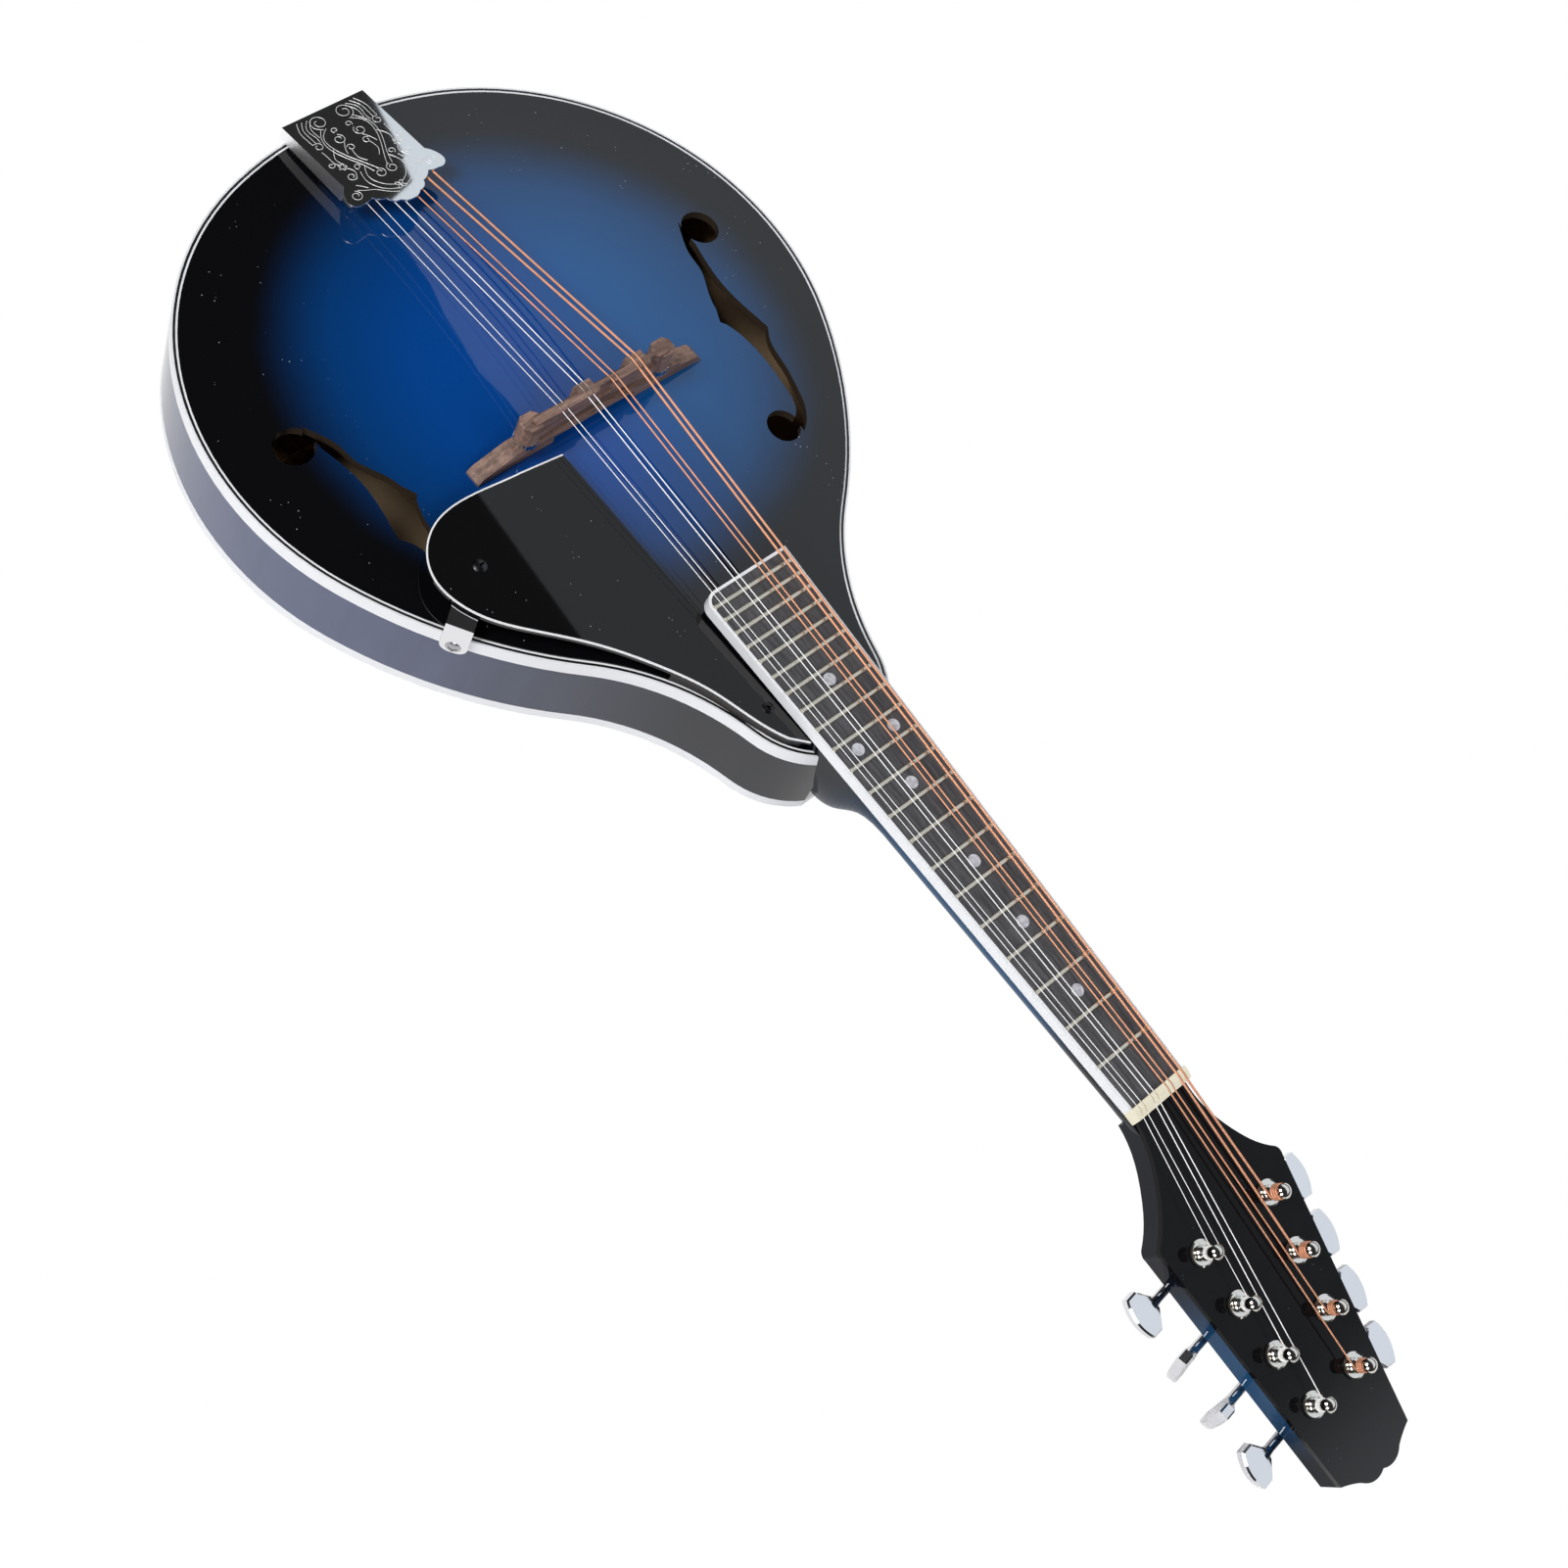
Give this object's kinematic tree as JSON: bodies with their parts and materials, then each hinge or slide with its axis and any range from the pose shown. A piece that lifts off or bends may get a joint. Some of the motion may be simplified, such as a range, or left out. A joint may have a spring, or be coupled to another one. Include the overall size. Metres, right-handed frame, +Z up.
{
  "type": "a-style mandolin",
  "caption": "Teardrop mandolin with an arched top and curved sound holes, paired strings over a movable bridge, a covered tailpiece and worm-geared tuning machines.",
  "frame": {"origin": "middle of the bounding box's underside, where the instrument lies on its back on a table", "axes": "+X from the tail to the head, +Y to the bass side, +Z up out of the top"},
  "size_m": [0.693, 0.2768, 0.084],
  "materials": {
    "top_finish": "gloss metallic blue burst",
    "side_finish": "gloss dark blue",
    "back_finish": "gloss dark blue",
    "binding_ivory": "gloss white",
    "bare_wood": "bare",
    "neck_finish": "gloss dark blue",
    "head_face": "gloss black",
    "rod_steel": "plain",
    "board_wood": "satin dark",
    "fret_metal": "polished nickel silver",
    "pearl": "pearl",
    "nut_cream": "satin",
    "bridge_wood": "oiled",
    "bridge_metal": "nickel",
    "tail_chrome": "polished",
    "pin_black": "gloss",
    "guard_black": "gloss",
    "guard_white": "gloss",
    "machine_nickel": "nickel",
    "post_nickel": "nickel",
    "key_chrome": "polished",
    "string_steel": "plain",
    "string_bronze": "wound bronze"
  },
  "bodies": {
    "instrument": {"back_binding": "binding_ivory", "back_braces": "bare_wood", "back_lining": "bare_wood", "back_plate": "back_finish", "bracket_screw": "tail_chrome", "bridge_base": "bridge_wood", "bridge_posts": "bridge_metal", "end_pin": "pin_black", "fretboard": "board_wood", "fretboard_binding": "binding_ivory", "frets": "fret_metal", "headstock_overlay": "head_face", "neck": "neck_finish", "neck_block": "bare_wood", "neck_rod": "rod_steel", "nut": "nut_cream", "pickguard": "guard_black", "pickguard_bracket": "tail_chrome", "pickguard_edging": "guard_white", "pickguard_screws": "tail_chrome", "pickguard_spacer": "bare_wood", "position_dots": "pearl", "side_ribs": "side_finish", "strings_a": "string_steel", "strings_d": "string_bronze", "strings_e": "string_steel", "strings_g": "string_bronze", "tail_block": "bare_wood", "tailpiece_base": "tail_chrome", "tailpiece_screws": "tail_chrome", "tone_bars": "bare_wood", "top_binding": "binding_ivory", "top_lining": "bare_wood", "top_plate": "top_finish", "tuner_bushings": "machine_nickel", "tuner_plate_bass": "machine_nickel", "tuner_plate_screws": "machine_nickel", "tuner_plate_treble": "machine_nickel"},
    "saddle": {"bridge_saddle": "bridge_wood"},
    "thumbwheel_bass": {"thumbwheel_bass": "bridge_metal"},
    "thumbwheel_treble": {"thumbwheel_treble": "bridge_metal"},
    "tail_cover": {"tailpiece_cover": "tail_chrome"},
    "post_bass_1": {"post_bass_1": "post_nickel"},
    "key_bass_1": {"key_bass_1": "key_chrome"},
    "post_bass_2": {"post_bass_2": "post_nickel"},
    "key_bass_2": {"key_bass_2": "key_chrome"},
    "post_bass_3": {"post_bass_3": "post_nickel"},
    "key_bass_3": {"key_bass_3": "key_chrome"},
    "post_bass_4": {"post_bass_4": "post_nickel"},
    "key_bass_4": {"key_bass_4": "key_chrome"},
    "post_treble_1": {"post_treble_1": "post_nickel"},
    "key_treble_1": {"key_treble_1": "key_chrome"},
    "post_treble_2": {"post_treble_2": "post_nickel"},
    "key_treble_2": {"key_treble_2": "key_chrome"},
    "post_treble_3": {"post_treble_3": "post_nickel"},
    "key_treble_3": {"key_treble_3": "key_chrome"},
    "post_treble_4": {"post_treble_4": "post_nickel"},
    "key_treble_4": {"key_treble_4": "key_chrome"}
  },
  "joints": [
    {"name": "saddle_lift", "type": "slide", "parent": "instrument", "child": "saddle", "axis": [-0.035, 0, 0.9994], "range_m": [0, 0.0025], "deforming": ["strings_e", "strings_a", "strings_d", "strings_g"]},
    {"name": "thumbwheel_bass_spin", "type": "hinge", "parent": "saddle", "child": "thumbwheel_bass", "pos_m": [-0.16476, 0.034, 0.06977], "axis": [-0.035, 0, 0.9994], "continuous": true},
    {"name": "thumbwheel_treble_spin", "type": "hinge", "parent": "saddle", "child": "thumbwheel_treble", "pos_m": [-0.16476, -0.034, 0.06977], "axis": [-0.035, 0, 0.9994], "continuous": true},
    {"name": "cover_slide", "type": "slide", "parent": "instrument", "child": "tail_cover", "axis": [-0.9994, 0, -0.035], "range_m": [0, 0.045]},
    {"name": "key_bass_1_spin", "type": "hinge", "parent": "instrument", "child": "key_bass_1", "pos_m": [0.24094, 0.04516, 0.02565], "axis": [0.0965, 0.9949, -0.0282], "continuous": true},
    {"name": "post_bass_1_spin", "type": "hinge", "parent": "instrument", "child": "post_bass_1", "pos_m": [0.23727, 0.02, 0.04371], "axis": [0.2809, 0, 0.9597], "continuous": true},
    {"name": "key_bass_2_spin", "type": "hinge", "parent": "instrument", "child": "key_bass_2", "pos_m": [0.26469, 0.04266, 0.0187], "axis": [0.0965, 0.9949, -0.0282], "continuous": true},
    {"name": "post_bass_2_spin", "type": "hinge", "parent": "instrument", "child": "post_bass_2", "pos_m": [0.26102, 0.0175, 0.03676], "axis": [0.2809, 0, 0.9597], "continuous": true},
    {"name": "key_bass_3_spin", "type": "hinge", "parent": "instrument", "child": "key_bass_3", "pos_m": [0.28844, 0.04016, 0.01175], "axis": [0.0965, 0.9949, -0.0282], "continuous": true},
    {"name": "post_bass_3_spin", "type": "hinge", "parent": "instrument", "child": "post_bass_3", "pos_m": [0.28477, 0.015, 0.02981], "axis": [0.2809, 0, 0.9597], "continuous": true},
    {"name": "key_bass_4_spin", "type": "hinge", "parent": "instrument", "child": "key_bass_4", "pos_m": [0.31219, 0.03766, 0.0048], "axis": [0.0965, 0.9949, -0.0282], "continuous": true},
    {"name": "post_bass_4_spin", "type": "hinge", "parent": "instrument", "child": "post_bass_4", "pos_m": [0.30851, 0.0125, 0.02286], "axis": [0.2809, 0, 0.9597], "continuous": true},
    {"name": "key_treble_1_spin", "type": "hinge", "parent": "instrument", "child": "key_treble_1", "pos_m": [0.24094, -0.04516, 0.02565], "axis": [0.0965, -0.9949, -0.0282], "continuous": true},
    {"name": "post_treble_1_spin", "type": "hinge", "parent": "instrument", "child": "post_treble_1", "pos_m": [0.23727, -0.02, 0.04371], "axis": [0.2809, 0, 0.9597], "continuous": true},
    {"name": "key_treble_2_spin", "type": "hinge", "parent": "instrument", "child": "key_treble_2", "pos_m": [0.26469, -0.04266, 0.0187], "axis": [0.0965, -0.9949, -0.0282], "continuous": true},
    {"name": "post_treble_2_spin", "type": "hinge", "parent": "instrument", "child": "post_treble_2", "pos_m": [0.26102, -0.0175, 0.03676], "axis": [0.2809, 0, 0.9597], "continuous": true},
    {"name": "key_treble_3_spin", "type": "hinge", "parent": "instrument", "child": "key_treble_3", "pos_m": [0.28844, -0.04016, 0.01175], "axis": [0.0965, -0.9949, -0.0282], "continuous": true},
    {"name": "post_treble_3_spin", "type": "hinge", "parent": "instrument", "child": "post_treble_3", "pos_m": [0.28477, -0.015, 0.02981], "axis": [0.2809, 0, 0.9597], "continuous": true},
    {"name": "key_treble_4_spin", "type": "hinge", "parent": "instrument", "child": "key_treble_4", "pos_m": [0.31219, -0.03766, 0.0048], "axis": [0.0965, -0.9949, -0.0282], "continuous": true},
    {"name": "post_treble_4_spin", "type": "hinge", "parent": "instrument", "child": "post_treble_4", "pos_m": [0.30851, -0.0125, 0.02286], "axis": [0.2809, 0, 0.9597], "continuous": true}
  ],
  "couplings": [
    {"joint": "thumbwheel_bass_spin", "follows": "saddle_lift", "rad_per_m": 8976},
    {"joint": "thumbwheel_treble_spin", "follows": "saddle_lift", "rad_per_m": 8976},
    {"joint": "post_bass_1_spin", "follows": "key_bass_1_spin", "ratio": -0.066667},
    {"joint": "post_bass_2_spin", "follows": "key_bass_2_spin", "ratio": -0.066667},
    {"joint": "post_bass_3_spin", "follows": "key_bass_3_spin", "ratio": -0.066667},
    {"joint": "post_bass_4_spin", "follows": "key_bass_4_spin", "ratio": -0.066667},
    {"joint": "post_treble_1_spin", "follows": "key_treble_1_spin", "ratio": -0.066667},
    {"joint": "post_treble_2_spin", "follows": "key_treble_2_spin", "ratio": -0.066667},
    {"joint": "post_treble_3_spin", "follows": "key_treble_3_spin", "ratio": -0.066667},
    {"joint": "post_treble_4_spin", "follows": "key_treble_4_spin", "ratio": -0.066667}
  ]
}
